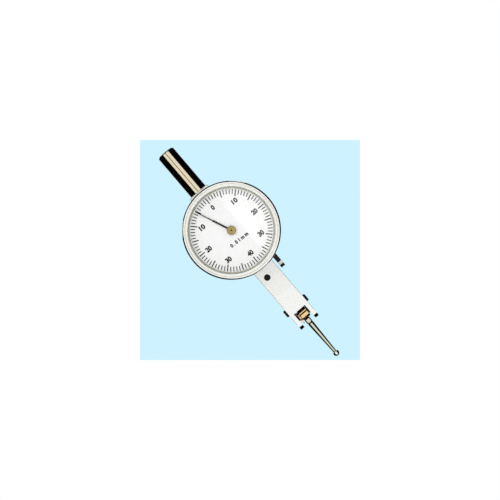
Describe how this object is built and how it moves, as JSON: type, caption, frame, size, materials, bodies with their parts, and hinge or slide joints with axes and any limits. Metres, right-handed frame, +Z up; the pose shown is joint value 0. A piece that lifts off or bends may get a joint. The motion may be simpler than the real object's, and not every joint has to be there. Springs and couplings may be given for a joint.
{
  "type": "dial test indicator",
  "caption": "Lever type dial test indicator: round turning bezel and dial on a slim bar, clamping stem on top, swivelling ball stylus in a fork below.",
  "frame": {"origin": "on the stem's axis, at the stem's foot on the bar's shoulder", "axes": "+Z up the stem, -Y out of the dial towards the reader, +X to the dial's right"},
  "size_m": [0.031, 0.0119, 0.0846],
  "materials": {
    "satin_chrome": "satin chrome plate",
    "ground_steel": "ground and polished steel",
    "bright_chrome": "bright chrome plate",
    "window": "clear",
    "dial_white": "matt white lacquer with printed scale",
    "rim_grey": "satin grey",
    "needle_black": "black lacquer",
    "black_oxide": "black oxide on steel",
    "brass": "turned brass",
    "copper": "copper-coloured bronze",
    "steel": "turned steel",
    "dark_steel": "hardened dark steel",
    "spring_steel": "tempered spring steel",
    "stylus_steel": "polished steel",
    "ball_steel": "lapped steel"
  },
  "bodies": {
    "root": {"body": "satin_chrome", "stem": "ground_steel", "back_cover": "satin_chrome", "cover_screws": "steel", "nose_fork": "satin_chrome", "fork_screws": "black_oxide", "bearing_screws": "steel", "arbor_bushes": "brass", "hairspring": "spring_steel", "hairspring_stud": "brass", "front_plate": "brass", "plate_pillars": "brass", "plate_screws": "steel", "rear_bridge": "brass", "bridge_screws": "steel", "centre_bushes": "brass", "bezel_spring": "spring_steel", "changeover_bush": "steel", "lever_stop": "steel", "front_screw": "black_oxide"},
    "bezel": {"bezel": "bright_chrome", "crystal": "window", "spacer_ring": "rim_grey", "dial_plate": "dial_white"},
    "pointer": {"pointer": "needle_black", "pointer_hub": "brass", "centre_arbor": "steel", "hairspring_collet": "brass"},
    "crown": {"crown_wheel": "brass", "crown_arbor": "steel"},
    "sector": {"sector_gear": "brass", "sector_arbor": "steel"},
    "lever": {"main_lever": "dark_steel", "lever_axle": "steel", "drive_pin": "steel", "bias_spring": "spring_steel", "spring_rivets": "brass"},
    "stylus": {"pivot_drum": "brass", "friction_washer": "copper", "stylus": "stylus_steel", "stylus_ball": "ball_steel"},
    "changeover": {"changeover_lever": "black_oxide", "changeover_arbor": "steel", "changeover_screw": "black_oxide"}
  },
  "joints": [
    {"name": "pointer_turn", "type": "hinge", "parent": "root", "child": "pointer", "pos_m": [0, 0, -0.0161], "axis": [0, 1, 0], "range_deg": [0, 400], "stiffness_Nm_per_rad": 0.0000026, "springref_deg": -441.18, "deforming": ["hairspring"]},
    {"name": "crown_turn", "type": "hinge", "parent": "root", "child": "crown", "pos_m": [0, -0.0012, -0.0161], "axis": [1, 0, 0], "range_deg": [-0.2, 100.2]},
    {"name": "sector_swing", "type": "hinge", "parent": "root", "child": "sector", "pos_m": [0, -0.00089, -0.02509], "axis": [1, 0, 0], "range_deg": [-12.53, 0.03]},
    {"name": "lever_swing", "type": "hinge", "parent": "root", "child": "lever", "pos_m": [0, 0, -0.0509], "axis": [1, 0, 0], "range_deg": [-0.01, 3.13]},
    {"name": "stylus_swivel", "type": "hinge", "parent": "lever", "child": "stylus", "pos_m": [0, 0, -0.0509], "axis": [1, 0, 0], "range_deg": [-105, 105]},
    {"name": "bezel_turn", "type": "hinge", "parent": "root", "child": "bezel", "pos_m": [0, 0, -0.0161], "axis": [0, 1, 0], "continuous": true},
    {"name": "changeover_swing", "type": "hinge", "parent": "root", "child": "changeover", "pos_m": [0, 0.0004, -0.02785], "axis": [-1, 0, 0], "range_deg": [0, 24], "deforming": ["bias_spring"]}
  ],
  "couplings": [
    {"joint": "crown_turn", "follows": "pointer_turn", "ratio": 0.25},
    {"joint": "sector_swing", "follows": "pointer_turn", "ratio": -0.03125},
    {"joint": "lever_swing", "follows": "pointer_turn", "ratio": 0.0078125}
  ]
}
